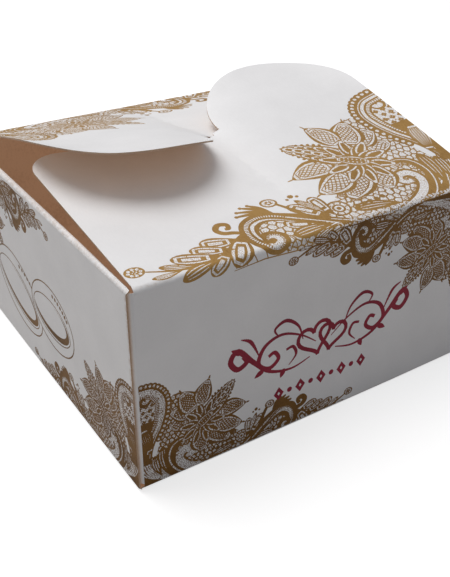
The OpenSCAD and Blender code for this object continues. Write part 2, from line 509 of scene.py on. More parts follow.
def side_base_place(a, b, depth):
    out, up = quarter_turn(b, depth, FOLD_R)
    return -(half_w - FOLD_R + out), -a, FOLD_R + up


for name, place, reach in (
    ("front_base", end_base_place, half_w - END_TRIM),
    ("back_base", turned(end_base_place), half_w - END_TRIM),
    ("left_base", side_base_place, half_d - SIDE_TRIM),
    ("right_base", turned(side_base_place), half_d - SIDE_TRIM),
):
    fold = cut_card(name + "_fold", oblong(-reach, 0, reach, BASE_FOLD_LEN), place,
                    cell=(30, 0.2))
    settle(fold, "box", name + "_crease")


# ------------ lace and the other printing
# The sheet is printed before it is cut: a bronze corner ornament of lace flowers, net, a paisley
# and a long leafy scroll, used large on the lid and smaller on the walls, and a deep red
# flourish on the front. Every printed shape is its own outline in the card's white face, and
# the finest threads between them are a pattern in its colour.


def printing_ink(name, dark, light, metal, depth=0.8, rough=(0.55, 0.42), specular=0.3):
    """An ink on the card, whose fibres show through it."""
    ink_face = card_face(name, dark, light, spread=(0.5, 1.1), streak=1900, depth=depth,
                         bump=0.2, rough=rough, specular=specular)
    ink_face.node_tree.nodes["Principled BSDF"].inputs["Metallic"].default_value = metal
    return ink_face


def thread_net(name, thread, pitch, width):
    """The card between the drawn parts of the lace, crossed by printed threads too fine to be
    cut as outlines. The width is a share of the pitch."""
    net_face = white_face(name, 0.35)
    tree = net_face.node_tree
    place = put(tree, "TexCoord")
    cells = put(tree, "TexVoronoi", Scale=1 / pitch)
    cells.feature = "DISTANCE_TO_EDGE"
    tree.links.new(place.outputs["Object"], cells.inputs["Vector"])
    threads = put(tree, "MapRange", From_Min=0.3 * width, From_Max=0.7 * width,
                  To_Min=1.0, To_Max=0.0)
    tree.links.new(cells.outputs["Distance"], threads.inputs["Value"])
    tint(net_face, threads.outputs[0], thread)
    return net_face


bronze_ink = printing_ink("bronze_ink", (0.25, 0.13, 0.03), (0.43, 0.25, 0.075), 0.25)
# The walls' copy of the bronze ink, painted darker: painted shade, as the walls stand in shade.
shaded_small_ink = printing_ink("shaded_small_ink", (0.1, 0.043, 0.007), (0.22, 0.105, 0.02), 0.1)
red_ink = printing_ink("red_ink", (0.19, 0.003, 0.02), (0.33, 0.012, 0.04), 0.0,
                       0.6, (0.5, 0.4), 0.35)
bronze_net = thread_net("bronze_net", (0.37, 0.195, 0.035), 0.0008, 0.058)
# The walls' lace threads are painted darker in the same way: painted shade.
shaded_small_net = thread_net("shaded_small_net", (0.17, 0.075, 0.01), 0.00055, 0.145)
BARE, BRONZE, SMALL_SHADED, RED, BRONZE_NET, SMALL_NET_SHADED = range(6)
INKS = (bronze_ink, shaded_small_ink, red_ink, bronze_net, shaded_small_net)

lace = []
pen_weight = 1.0


def ink(shape):
    lace.append((shape, BRONZE))


def bare(shape):
    lace.append((shape, BARE))


def smooth(points, per=5):
    """A smooth line through a few points."""
    line = []
    for i in range(len(points) - 1):
        ends = (points[max(i - 1, 0)], points[i], points[i + 1],
                points[min(i + 2, len(points) - 1)])
        for k in range(per):
            t = k / per
            line.append(tuple(
                b + 0.5 * t * (c - a + t * (2 * a - 5 * b + 4 * c - d)
                               + t * t * (3 * b - a - 3 * c + d))
                for a, b, c, d in zip(*ends)
            ))
    return line + [tuple(points[-1])]


def beside(path, off):
    """A line that runs beside another, off to its left."""
    line = []
    for i, (x, y) in enumerate(path):
        x0, y0 = path[max(i - 1, 0)]
        x1, y1 = path[min(i + 1, len(path) - 1)]
        d = hypot(x1 - x0, y1 - y0) or 1.0
        line.append((x - (y1 - y0) / d * off, y + (x1 - x0) / d * off))
    return line


def stroke(path, width, start=1.0, end=1.0, fade=3.0):
    """The outline of a drawn line, thinned towards its ends."""
    sides = [[], []]
    last = len(path) - 1
    for i, (x, y) in enumerate(path):
        x0, y0 = path[max(i - 1, 0)]
        x1, y1 = path[min(i + 1, last)]
        d = hypot(x1 - x0, y1 - y0) or 1.0
        t = i / last
        half = pen_weight * width / 2 * (start + (1 - start) * min(1, t * fade))
        half *= end + (1 - end) * min(1, (1 - t) * fade)
        for side, sign in zip(sides, (1, -1)):
            side.append((x - sign * (y1 - y0) / d * half, y + sign * (x1 - x0) / d * half))
    return sides[0] + sides[1][::-1]


def rungs(path, inner, outer, pitch, thick):
    """Short cross strokes along a line, from one offset to another."""
    gone = pitch / 2
    for (x0, y0), (x1, y1) in zip(path, path[1:]):
        d = hypot(x1 - x0, y1 - y0)
        while gone < d:
            x, y = x0 + (x1 - x0) * gone / d, y0 + (y1 - y0) * gone / d
            nx, ny = -(y1 - y0) / d, (x1 - x0) / d
            tx, ty = ny * thick / 2 * pen_weight, -nx * thick / 2 * pen_weight
            ink([(x + nx * inner - tx, y + ny * inner - ty),
                 (x + nx * inner + tx, y + ny * inner + ty),
                 (x + nx * outer + tx, y + ny * outer + ty),
                 (x + nx * outer - tx, y + ny * outer - ty)])
            gone += pitch
        gone -= d


def ring_of(x, y, across, tall=None, steps=12, lean=0.0):
    tall = tall or across
    spots = []
    for k in range(steps):
        c = cos(2 * pi * k / steps) * across
        s = sin(2 * pi * k / steps) * tall
        spots.append((x + c * cos(lean) - s * sin(lean),
                      y + c * sin(lean) + s * cos(lean)))
    return spots


def leaf(base, tip, half, bend=0.0, belly=0.75, blunt=0.8):
    """A leaf as a function: t from base to tip, q from edge to edge."""
    dx, dy = tip[0] - base[0], tip[1] - base[1]
    d = hypot(dx, dy)

    def at(t, q):
        side = half * q * sin(pi * t**belly) ** blunt + bend * sin(pi * t)
        return base[0] + dx * t - dy / d * side, base[1] + dy * t + dx / d * side
    return at


def edge(at, t0, t1, q, steps=8):
    ts = [t0 + (t1 - t0) * (1 - cos(pi * k / steps)) / 2 for k in range(steps + 1)]
    first = 1 if t0 <= 0 else 0
    last = steps if t1 >= 1 else steps + 1
    return [at(t, q) for t in ts] + [at(t, -q) for t in ts[first:last][::-1]]


def around(x, y, across, tall, turn):
    return x + across * cos(turn), y + tall * sin(turn)


def drawn(path, *widths):
    ink(stroke(path, *widths))


def scraped(path, *widths):
    bare(stroke(path, *widths))


def banded(at, *bands):
    """Lays smaller and smaller outlines of a leaf on it, printed and bare by turns."""
    for k, band in enumerate(bands):
        (bare if k % 2 else ink)(edge(at, *band))


def dot(x, y, across, tall=None, steps=8):
    ink(ring_of(x, y, across, tall, steps))


def hole(x, y, across, tall=None, steps=6):
    bare(ring_of(x, y, across, tall, steps))


def petal(base, tip, half, bend=0.0, spur=1.6):
    """A pointed lace petal: a double outline filled with a crossed lattice."""
    at = leaf(base, tip, half, bend)
    dx, dy = tip[0] - base[0], tip[1] - base[1]
    d = hypot(dx, dy)
    drawn([tip, (tip[0] + dx / d * spur, tip[1] + dy / d * spur)], 0.6, 1, 0.5)
    banded(at, (0, 1, 1.12, 12), (0.05, 0.92, 0.84), (0.1, 0.86, 0.66), (0.13, 0.83, 0.57))
    count = round(d / 2.0)
    slant = half * 0.7 / d
    for k in range(1, count + 3):
        for lean in (1, -1):
            line = []
            for j in range(-3, 4):
                q = j / 3
                t = (k - 1) / count + lean * q * slant
                if 0.14 < t < 0.82:
                    line.append(at(t, q * 0.58))
            if len(line) > 1:
                drawn(line, 0.3)


def plume(base, tip, half, bend=0.0, core=True):
    """A round-ended leaf of the scroll: solid, with a pale drop and a dark heart in it."""
    at = leaf(base, tip, half, bend, belly=1.7, blunt=0.55)
    if core:
        banded(at, (0, 1, 1, 12), (0.3, 0.93, 0.68), (0.36, 0.87, 0.46), (0.46, 0.8, 0.24, 4))
    else:
        banded(at, (0, 1, 1, 12))
        for q in (0.55, 0.05, -0.45):
            scraped([at(t / 8, q) for t in range(2 + round(abs(q) * 2), 8)], 0.26, 0.4, 0.6)


def net(rim, cell):
    """Irregular needle net inside a rim: a solid patch with uneven six-sided holes."""
    ink(rim)
    xs, ys = [p[0] for p in rim], [p[1] for p in rim]
    tall = cell * sqrt(3) / 2

    def knot(i, j, k):
        """A corner of the net, pushed off its place by an amount that only its place sets."""
        x = min(xs) + (i + j % 2 / 2) * cell + cell * cos(pi / 3 * k + 0.5236) * 0.577
        y = min(ys) + j * tall + cell * sin(pi / 3 * k + 0.5236) * 0.577
        a = sin(round(x / cell * 6) * 12.9 + round(y / cell * 6) * 78.2) * 437.5
        b = sin(round(x / cell * 6) * 39.3 + round(y / cell * 6) * 11.1) * 719.3
        return (x + (a - floor(a) - 0.5) * cell * 0.42,
                y + (b - floor(b) - 0.5) * cell * 0.42)
    for j in range(-1, int((max(ys) - min(ys)) / tall) + 2):
        for i in range(-1, int((max(xs) - min(xs)) / cell) + 2):
            corners = [knot(i, j, k) for k in range(6)]
            x, y = (sum(p[n] for p in corners) / 6 for n in (0, 1))
            keep = 1 - 0.42 * pen_weight / cell
            bare([(x + (p[0] - x) * keep, y + (p[1] - y) * keep) for p in corners])


def ground_net():
    """The net lies under everything else, behind the flower and inside the big scroll."""
    net(smooth([(8, 12), (12, 26), (15, 40), (19.5, 48), (30, 44), (44, 24), (52, 14), (62, 5),
                (56, -2.6), (46, -3.2), (34, -1.6), (24, 3), (14, 7), (8, 12)], 3), 2.5)
    net(smooth([(63, 3), (68, 9), (75, 13), (82, 14), (87, 9), (87, 2), (80, -2.6), (68, -2.8),
                (63, 3)], 3), 2.6)
    for k in range(9):
        drawn([(70 + k * 3.4, -2.9), (71.4 + k * 3.4, 0.2 + k % 3)], 0.28)
    drawn([(66, -2.2), (76, -3.3), (88, -2.6), (98, -3.4)], 0.35, 0.5, 0.5)


def corner_scroll():
    """Corner feathers, and the scroll of white band that curls out of them."""
    corner_rim = smooth([(-3, -4), (-3, 25), (4, 24), (8.5, 16), (12, 9.5), (19, 3.5), (31, -0.6),
                         (46, -2.2), (58, -1.2), (50, -3.4), (30, -4), (-3, -4)], 4)
    ink(corner_rim)
    for k in range(9):
        scraped(smooth([(44 - 3 * k, -3.2 + 0.2 * k), (20 - 2 * k, -0.4 + 0.9 * k),
                        (11.4 - 1.5 * k, 9 + 1.2 * k), (9.6 - 1.3 * k, 17 + k)]),
                0.3, 0.3, 0.3)
    for k in range(5):
        scraped(smooth([(2.6 + 1.1 * k, 21 - 0.4 * k), (3.8 + 1.2 * k, 12),
                        (8.5 + 1.4 * k, 5)], 4), 0.28, 0.3, 0.3)
    plume((16, 3), (12.8, 21), 3.0, 1.2, core=False)
    plume((12, 4), (8.6, 17.5), 2.4, 0.8, core=False)
    swell = smooth([(48, -2), (34, -1.2), (24, 1), (18.6, 6.5), (16.6, 13), (18.4, 18.6),
                    (23, 20.6), (27.5, 19.6)])
    drawn(swell, 3.2, 0.3, 0.4)
    scraped(beside(swell, 0.45), 0.4, 0.4, 0.4)
    rungs(swell[8:], -2.9, -1.6, 0.95, 0.3)
    hook = smooth([(26.6, 9.4), (28.6, 11), (27.4, 13.5), (24, 13.8), (21.8, 11), (22.6, 7.2),
                   (26.4, 3.4), (32, 0.8), (39, -1.2), (46, -2.6)])
    drawn(hook, 4.0, 0.75, 0.4)
    scraped(hook, 2.3, 0.7, 0.3)
    rungs(hook[12:38], 2.0, 3.2, 0.95, 0.3)
    plume((36, 1.6), (52.4, 5), 2.5, 0.8, core=False)
    for k in range(5):
        dot(40 + 2.6 * k, 6.9 - 0.25 * k, 1.0)
    for turn_r in (3.9, 2.1):
        dot(56.4, 7.4, turn_r, steps=16)
        hole(56.4, 7.4, turn_r - 0.7, steps=16)
    for k in range(8):
        drawn([around(56.4, 7.4, 2.2, 2.2, k * 0.785),
               around(56.4, 7.4, 3.4, 3.4, k * 0.785)], 0.4)
    dot(56.4, 7.4, 0.8)
    for k in range(7):
        fan = 1.9 + 0.22 * k
        drawn([around(52.6, 11, 1.2, 1.2, fan),
               around(52.6, 11, 5.5, 5.5, fan)], 0.26)


def paisley():
    """The paisley by the side edge: scallops, a white band, a ladder and a spotted middle."""
    bow = smooth([(-3, 57), (4, 57.2), (10, 56), (14.2, 52), (16.2, 46.5), (15.8, 40), (13.6, 33),
                  (10.4, 27), (8, 21), (7, 14)], 6)
    for k in range(0, len(bow) - 14, 2):
        x, y = beside(bow, 0.9)[k + 2]
        dot(x, y, 1.7, steps=10)
        hole(x, y, 0.75)
    ink(bow + [(-3, 14)])
    scraped(beside(bow, -1.2)[:52], 0.32, 1, 0.3)
    band = beside(bow, -2.6)
    scraped(band[:50], 1.0, 1, 0.3)
    band = beside(bow, -4.6)
    scraped(band[:46], 1.0, 1, 0.3)
    rungs(band[:42], -0.8, 0.8, 0.95, 0.28)
    middle = beside(bow, -6.0)[:34]
    bare(middle + [(-3, middle[-1][1])])
    for j in range(6):
        for i in range(4):
            x, y = 1.2 + 3.1 * i + 1.5 * (j % 2), 33.5 + 2.7 * j
            if x < 9.8 - abs(y - 43) * 0.2:
                for dx, dy in ((0.6, 0), (-0.6, 0), (0, 0.6), (0, -0.6)):
                    dot(x + dx, y + dy, 0.55, steps=6)
    drawn(smooth([(8.6, 50.2), (7, 48.2), (4.4, 48), (3.2, 50), (4.6, 51.6), (6, 50.6)]),
          0.9, 0.6, 0.6)
    tongue = leaf((7.5, 19), (3.6, 35), 4.0, 0.6, belly=1.6, blunt=0.55)
    banded(tongue, (0, 1, 1, 12), (0.16, 0.95, 0.8))
    for k in range(-3, 4):
        drawn([tongue(t / 10, k / 4.2) for t in range(2, 10)], 0.42)


def flower():
    """The flower: lattice petals, a long scaled spike, short pointed petals and a seeded heart."""
    heart_x, heart_y = 34.5, 25.5
    dot(27.6, 22.2, 2.9, steps=14)
    hole(27.6, 22.2, 2.1, steps=12)
    dot(27.2, 22.4, 1.0)
    plume((26, 21), (22.6, 18), 1.2, core=False)
    for base, tip, half, bend in (
        ((27, 30), (16.2, 30.4), 3.8, 0.3), ((28, 32.5), (17.2, 38.8), 4.2, -0.4),
        ((30, 34), (23.4, 47.6), 5.6, -0.3), ((33.5, 36), (38.4, 49.4), 4.6, 0.8),
        ((31, 19.5), (34.6, 8.4), 5.0, 0.5), ((37, 20.5), (50.2, 9.2), 5.4, -0.2),
        ((41.5, 21.8), (57, 15.8), 5.0, -0.8), ((43, 26.6), (59.2, 26.8), 4.6, 1.2),
    ):
        petal(base, tip, half, bend)
    spike = leaf((35, 26.5), (52.6, 43.4), 5.4, 0.0, belly=0.62, blunt=0.8)
    ink(edge(spike, 0, 1, 1, 12))
    for k in range(7):
        for side in (1, -1):
            dot(*spike(0.94 - 0.075 * k, side * 1.08), 0.62, steps=6)
    for k in range(6):
        t = 0.79 - 0.125 * k
        for q in (0.74, -0.74, 0):
            scale = leaf(spike(t - 0.1, q * 0.55), spike(t + 0.19 - abs(q) * 0.03, q), 1.75,
                         belly=0.85, blunt=0.9)
            banded(scale, (0, 1, 1.15, 6), (0.1, 0.9, 0.78, 5), (0.2, 0.76, 0.42, 4))
    for k in range(10):
        turn = 0.82 + 2 * pi * (k + 0.5) / 10
        for near, far, half, off in ((4.0, 13.4, 2.3, 0.0), (1.6, 9.0, 1.8, 0.31)):
            c, s = cos(turn + off), sin(turn + off)
            inner = leaf((heart_x + near * c, heart_y + near * s),
                         (heart_x + far * c, heart_y + far * s), half, belly=0.7,
                         blunt=1.0)
            banded(inner, (0, 1, 1.15, 7), (0.08, 0.9, 0.8, 6), (0.15, 0.76, 0.46, 5))
    seedpod = leaf((30.6, 23.4), (40.6, 29.6), 2.7, belly=0.9)
    banded(seedpod, (0, 1, 1.2, 10), (0.05, 0.94, 0.85), (0.1, 0.9, 0.66))
    for k in range(1, 8):
        for q in (0.3, -0.3):
            hole(*seedpod(k / 8.4 + 0.03, q), 0.33)


def leafy_scroll():
    """The leafy scroll that runs along the fold."""
    drawn(smooth([(50, -1.8), (58, 1.4), (64, 5.6), (70, 10.4), (76, 14)]), 2.2, 0.5, 0.7)
    scraped(smooth([(52, -1), (58, 1.6), (64, 5.8), (69, 9.8)]), 0.3, 0.5, 0.5)
    for base, tip, half, bend, core in (
        ((61, 4), (69.4, 16), 3.0, 0.8, True), ((59.4, 5), (60.8, 16.6), 2.6, -0.3, True),
        ((60.5, 5), (65.2, 17.8), 1.3, 0.3, False), ((64, 3.6), (76, 8), 2.8, -0.6, True),
        ((62, 2), (77, 1.6), 2.6, 0.6, False), ((58, 1.6), (66.6, -0.6), 1.5, -0.4, True),
        ((62, 1), (71, -2.4), 1.3, 0.2, False),
    ):
        plume(base, tip, half, bend, core)
    for x, y, r in ((64.9, 20.0, 1.0), (66.8, 18.9, 0.6), (63.2, 19.0, 0.6)):
        dot(x, y, r)
    for x, y in ((84.6, 19.2), (82.3, 20.9), (79.6, 21.2), (85.9, 17.2)):
        drawn(smooth([(75, 13.2), ((75 + x) / 2 - 0.4, (14 + y) / 2 + 0.8), (x, y)], 4),
              1.25, 0.5, 0.5)
        dot(x, y, 0.68)
    dot(73, 19.8, 2.9, 2.3, steps=16)
    hole(73, 19.8, 2.2, 1.65, steps=14)
    for k in range(5):
        dot(*around(73, 19.8, 0.9, 0.75, k * 1.257), 0.5, steps=6)
    drawn(smooth([(71.2, 18.2), (69.8, 15.6), (68, 12), (66, 8)]), 1.0, 0.9, 0.5)
    sweep = smooth([(62, 4), (70, 10.4), (76, 14.6), (81.4, 15.6), (86.4, 13.6), (89, 9.4),
                    (89.2, 4), (86.6, -0.6), (82.6, -1.8), (79.6, 0.6), (79.4, 4), (82, 6.2),
                    (85, 5), (85.2, 2.4), (83.4, 1.6)], 6)
    drawn(beside(sweep[:50], -2.5), 4.6, 0.2, 0.4, 2)
    scraped(beside(sweep[:50], -1.35), 1.0, 0.3, 0.5, 2)
    rungs(beside(sweep, -1.35)[8:46], -0.5, 0.5, 0.8, 0.3)
    scraped(beside(sweep[6:44], -3.1), 1.0, 0.1, 0.2, 2)
    hole(82.3, 2.2, 3.2, 4.0, steps=18)
    drawn(sweep, 1.3, 0.6, 0.8)
    rungs(sweep[48:84], -1.5, -0.6, 0.8, 0.28)
    dot(83.4, 2.6, 1.15, steps=10)
    drawn(smooth([(88.6, 9), (91, 10.6), (93.8, 11.6), (95, 13.8), (93.2, 15.9), (90.8, 15.2),
                  (91.2, 13.2), (92.4, 13.2)]), 1.55, 0.8, 0.6)
    drawn(smooth([(89, 9), (92, 5), (98, 3.2), (106, 1.4), (114, 2.2), (121.6, 5.2)]),
          1.0, 1.6, 0.4, 2)
    for base, tip, half, bend, core in (
        ((89.6, 9.4), (97.4, -2.6), 3.8, 0.0, True), ((91, 7.2), (103, 9.6), 2.9, -0.5, True),
        ((95, 3.6), (107, 8.2), 2.5, -0.3, True), ((99, 2.4), (113.6, 6.8), 2.7, -0.5, True),
        ((107, 1.4), (117.8, 5.2), 1.4, -0.3, False), ((97, 3.6), (105, -2.8), 2.7, 0.2, True),
        ((101, 1.6), (113.8, -1.6), 2.0, 0.3, False), ((112, 1.8), (121.6, 1.6), 1.0, -0.4, False),
    ):
        plume(base, tip, half, bend, core)
    dot(124.2, 6.2, 2.9, 2.3, steps=18)
    for k in range(8):
        hole(*around(124.2, 6.2, 1.75, 1.4, k * 0.785), 0.55)
    for k in range(4):
        hole(*around(124.2, 6.2, 0.6, 0.5, k * 1.571), 0.26)


def corner_lace(weight):
    """Draws the whole corner ornament with pens of the given weight. The corner of the panel is
    at the start of both measures: the first runs along the fold, the second away from it."""
    global pen_weight
    pen_weight = weight
    lace.clear()
    for draw in (ground_net, corner_scroll, paisley, flower, leafy_scroll):
        draw()
    return list(lace)


big_lace = corner_lace(1.2)
small_lace = corner_lace(2.0)

# The red flourish that stands where a name would go: two hearts between long pen scrolls, with
# a row of small diamonds and dots under them.
flourish = []


def red(shape):
    flourish.append((shape, RED))


def pen_line(path, width, start=1.0, end=1.0):
    """A broad-nibbed pen line, laid down as short overlapping marks so that it may cross
    itself."""
    last = len(path) - 1
    for k, ((x0, y0), (x1, y1)) in enumerate(zip(path, path[1:])):
        t = (k + 0.5) / last
        half = width / 2 * (start + (1 - start) * min(1, t * 2.2))
        half *= end + (1 - end) * min(1, (1 - t) * 2.2)
        d = hypot(x1 - x0, y1 - y0)
        tx, ty = (x1 - x0) / d, (y1 - y0) / d
        lap = half * 0.35
        red([(x + (tx * along - ty * across), y + (ty * along + tx * across))
             for x, y, along, across in (
                 (x0, y0, -lap, -half), (x1, y1, lap, -half),
                 (x1, y1, lap, half), (x0, y0, -lap, half))])


def pen(points, width, start=0.25, end=0.25):
    """A pen line and its mirror image."""
    for side in (1, -1):
        pen_line(smooth([(side * x, z) for x, z in points], 6), width * 1.25, start, end)


pen([(5, 24), (12, 22.4), (20, 24.4), (26, 30), (31.4, 35.8), (34, 33), (31.6, 29.6),
     (28.4, 31), (29.4, 33.2)], 1.5, 0.2, 0.9)
pen([(3, 29), (9, 33.4), (16, 36), (22, 34), (24.2, 28.6), (20.4, 25.6), (17, 27.8),
     (18.4, 30.6), (20.4, 30)], 1.25, 0.2, 0.8)
pen([(8, 31.6), (10, 37), (14.6, 40.4), (18.6, 38.6), (17, 35.6)], 1.0)
pen([(24, 31.4), (27, 37.4), (30.4, 39.4)], 0.95)
pen([(13, 24), (10.4, 27), (11.6, 30.2), (14, 30)], 0.9, 0.2, 0.8)
for x, z, size, lean in ((-3.4, 30.4, 6.2, 0.22), (3.4, 29.4, 5.2, -0.2)):
    heart = []
    for k in range(33):
        a = 2 * pi * k / 32
        hx = size * sin(a) ** 3
        hz = size * (13 * cos(a) - 5 * cos(2 * a) - 2 * cos(3 * a)
                     - cos(4 * a)) / 16
        heart.append((x + hx * cos(lean) - hz * sin(lean),
                      z + hx * sin(lean) + hz * cos(lean)))
    pen_line(heart, 1.35)
for side in (1, -1):
    for base, tip in (((14.6, 23.4), (16, 20.4)), ((22, 26), (25.6, 24)), ((30, 34.4), (33.8, 37))):
        at = leaf((side * base[0], base[1]), (side * tip[0], tip[1]), 1.0)
        red(edge(at, 0, 1, 1, 6))
for k in range(-4, 5):
    x, z = 4.1 * k, 14.6
    if k % 2:
        red(ring_of(x, z, 0.95, steps=12))
    else:
        red([(x - 1.9, z), (x, z - 2.5), (x + 1.9, z), (x, z + 2.5)])
        flourish.append(([(x - 0.5, z), (x, z - 0.7), (x + 0.5, z), (x, z + 0.7)], BARE))

# Two plain rings, one hanging in the other, are printed on the side walls.
rings = []
# The rings use the walls' darker ink, whose extra darkness is painted shade.
for y, z, wide, tall, lean in ((21.7, 24.2, 20.4, 13.0, 0.3), (-8.5, 28.4, 17.2, 12.0, 0.0)):
    hole_y, hole_z = y + 0.7, z - 0.6
    for at_y, at_z, grow_w, grow_t, tone in (
        (y, z, 0.0, 0.0, SMALL_SHADED), (y, z, 0.5, 0.5, BARE),
        (hole_y, hole_z, 2.2, 4.6, SMALL_SHADED), (hole_y, hole_z, 2.6, 5.0, BARE),
        (hole_y, hole_z, 3.2, 5.7, SMALL_SHADED), (hole_y + 0.9, hole_z + 1.0, 4.2, 6.6, BARE),
    ):
        rings.append((ring_of(at_y, at_z, wide - grow_w, tall - grow_t, 36, lean), tone))
    for k in range(7):
        gem = around(y, z, wide - 1.5, tall - 2.3, 1.75 + 0.13 * k)
        rings.append((ring_of(*gem, 0.72, steps=8), SMALL_SHADED))


def laid(shapes, spot, ink_number=None, ground=BARE):
    """A set of printed shapes, each point moved to its spot on a panel. The ink number takes
    the place of their own inks, and the ground goes where they leave the card bare."""
    return [
        ([spot(x, y) for x, y in shape], (ink_number or tone) if tone else ground)
        for shape, tone in shapes
    ]


# ------------ front and back walls
# Plain walls whose outer face takes the flourish, and the lace twice: growing from the lower
# left corner, and hanging from the upper right one. They bow in slightly between the folds.
SMALL_LACE = 0.62
LID_FOLD_R = 1.6
LID_FOLD_Z = wall_h - 0.53
CORNER_R = 1.2
WALL_BOW = 0.35
lid_low, lid_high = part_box("front_lid_crease")
LID_AXIS_Y = (lid_low.y + lid_high.y) / 2 / MM
LID_AXIS_Z = (lid_low.z + lid_high.z) / 2 / MM
FRONT_BOW, BACK_BOW = 0.4, 1.8
LID_SLOPE = 6
LOBE_LIFT, RIM_LIFT, FAR_LIFT = 5.7, 3.6, 2
HANG_IN, HANG_DOWN = 1.2, 3
corner_x = -half_w + CARD + 0.05 + CORNER_R
wall_foot = FOLD_R - LID_FOLD_Z
wall_top = -1.4


def lid_tilt(s):
    """Tilt of the lid at s, measured across from the outside of the wall on the lobe's side."""
    across = s / half_w
    if across < 1:
        return radians(
            LID_SLOPE + LOBE_LIFT * (1 - across**5) + RIM_LIFT * (1 - across) ** 6
        )
    return radians(LID_SLOPE + FAR_LIFT * (across - 1) ** 1.5)


def lid_fold(s):
    """The fold from the wall to the lid at s: the lid's tilt, the angle turned through, how far
    out the two faces would meet, how far the fold reaches from there, and where it starts."""
    tilt = lid_tilt(s)
    turn = pi / 2 - tilt
    reach = LID_FOLD_R * tan(turn / 2)
    meet = (CARD / 2 * sin(tilt) - LID_AXIS_Y - half_d) / cos(tilt)
    start_z = LID_AXIS_Z + CARD / 2 * cos(tilt) + meet * sin(tilt) - reach
    return tilt, turn, meet, reach, start_z


def end_strip(bow):
    """The strip of sheet that runs up the front wall, over the lid fold and along the lid flap.
    b is measured from the middle of the fold: below it on the wall, above it on the lid."""
    def place(a, b, depth):
        s = half_w - a
        tilt, turn, meet, reach, start_z = lid_fold(s)
        start_b = start_z - LID_FOLD_Z
        if b <= start_b:
            up = max(0.0, (b - wall_foot) / (start_b - wall_foot))
            dish = WALL_BOW * max(0.0, 1 - (a / corner_x) ** 2) * sin(pi * up)
            return a, -half_d + depth * CARD + dish, LID_FOLD_Z + b
        if b < start_b + LID_FOLD_R * turn:
            angle = (b - start_b) / LID_FOLD_R
            r = LID_FOLD_R - depth * CARD
            return (a, -half_d + LID_FOLD_R - r * cos(angle),
                    start_z + r * sin(angle))
        out = b - start_b - LID_FOLD_R * turn
        v = meet + reach + out
        lift = CARD * (0.5 - depth)
        share = out / half_d / 1.4
        rise = max(0.0, 4 * bow * (1 - s / half_w) * share * (1 - share))
        return (a, v * cos(tilt) - lift * sin(tilt) + LID_AXIS_Y,
                v * sin(tilt) + lift * cos(tilt) + rise + LID_AXIS_Z)
    return place


front_strip = end_strip(FRONT_BOW)
back_strip = turned(end_strip(BACK_BOW))


def low_left(x, y):
    return SMALL_LACE * x - half_w, SMALL_LACE * y - LID_FOLD_Z


def high_right(x, y):
    return (half_w - HANG_IN - SMALL_LACE * x,
            wall_h - LID_FOLD_Z - HANG_DOWN - SMALL_LACE * y)


def on_lid(x, y):
    return half_w - x, y


end_print = (
    laid(big_lace, on_lid, BRONZE, -BRONZE_NET) + laid(small_lace, low_left, SMALL_SHADED, -SMALL_NET_SHADED)
    + laid(small_lace, high_right, SMALL_SHADED, -SMALL_NET_SHADED)
    + laid(flourish, lambda x, z: (x, z - LID_FOLD_Z))
)
EAR_TOP, SLIT = wall_h - 1, 0.05
crease_reach = half_w - 2.5
ear_top, ear_x = EAR_TOP - LID_FOLD_Z, crease_reach + SLIT
wall_outline = [
    (corner_x, wall_foot), (-corner_x, wall_foot), (-corner_x, ear_top), (ear_x, ear_top),
    (ear_x, wall_top), (-ear_x, wall_top), (-ear_x, ear_top), (corner_x, ear_top),
]
for name, place in (("front_wall", front_strip), ("back_wall", back_strip)):
    wall = cut_card(name + "_card", wall_outline, place, end_print, (9, 7), INKS)
    settle(wall, "box", name)


# ------------ corner folds and tabs
# At each end the front and back walls turn back in a tab that stands behind the side wall, so
# the corner shows a soft fold with the side wall's cut edge lying along it.
CORNER_FOLD_LEN = pi / 2 * CORNER_R
TAB_LEN = 42 - CORNER_R
TAB_FOOT, TAB_TOP, TAB_SLOPE = 2.2, wall_h - 2.45, 9


def tab_place(a, b, depth):
    """a runs back from the front wall's edge, round the fold and along the tab; b is height."""
    r = CORNER_R - depth * CARD
    angle = min(a / CORNER_R, pi / 2)
    along = max(0.0, a - CORNER_FOLD_LEN)
    return (corner_x - r * sin(angle), CORNER_R - half_d - r * cos(angle) + along, b)


def other_side(place):
    """The same place seen in a mirror, for the piece on the other side of the box."""
    def mirrored(a, b, depth):
        x, y, z = place(-a, b, depth)
        return -x, y, z
    return mirrored


def left_tab_place(a, b, depth):
    return tab_place(-a, b, depth)


fold_outline = [(0, TAB_FOOT), (CORNER_FOLD_LEN, TAB_FOOT),
                (CORNER_FOLD_LEN, EAR_TOP), (0, EAR_TOP)]
tab_outline = [
    (CORNER_FOLD_LEN, TAB_FOOT), (CORNER_FOLD_LEN + TAB_LEN, TAB_FOOT + TAB_SLOPE / 3),
    (CORNER_FOLD_LEN + TAB_LEN, TAB_TOP - TAB_SLOPE), (CORNER_FOLD_LEN, TAB_TOP),
]


def flipped(outline):
    return [(-a, b) for a, b in outline]


for corner, place, turn_over in (
    ("front_left", left_tab_place, flipped),
    ("front_right", other_side(left_tab_place), list),
    ("back_right", turned(left_tab_place), flipped),
    ("back_left", turned(other_side(left_tab_place)), list),
):
    fold = cut_card(corner + "_corner_fold", turn_over(fold_outline), place, cell=(0.2, 30))
    settle(fold, "box", corner + "_corner_crease")
    tab = cut_card(corner + "_tab_card", turn_over(tab_outline), place, cell=(20, 30))
    settle(tab, "box", corner + "_tab")


# ------------ side walls, ridges and liners
# A side wall stands outside the tabs, rolls over a narrow ridge along its top, and hangs down
# inside as a liner that hides the tabs. It carries the lace twice, and the two rings.
RIDGE_R = 1.05
RIDGE_W = 2.2
SIDE_HANG_DOWN = 3.5
RIDGE_FOLD_LEN = pi / 2 * RIDGE_R
LINER_LEN = wall_h - RIDGE_R - 1.6
side_foot, side_top = FOLD_R, wall_h - RIDGE_R
ridge_start = side_top + RIDGE_FOLD_LEN
ridge_end = ridge_start + RIDGE_W - 2 * RIDGE_R
liner_top = ridge_end + RIDGE_FOLD_LEN
liner_foot = liner_top + LINER_LEN


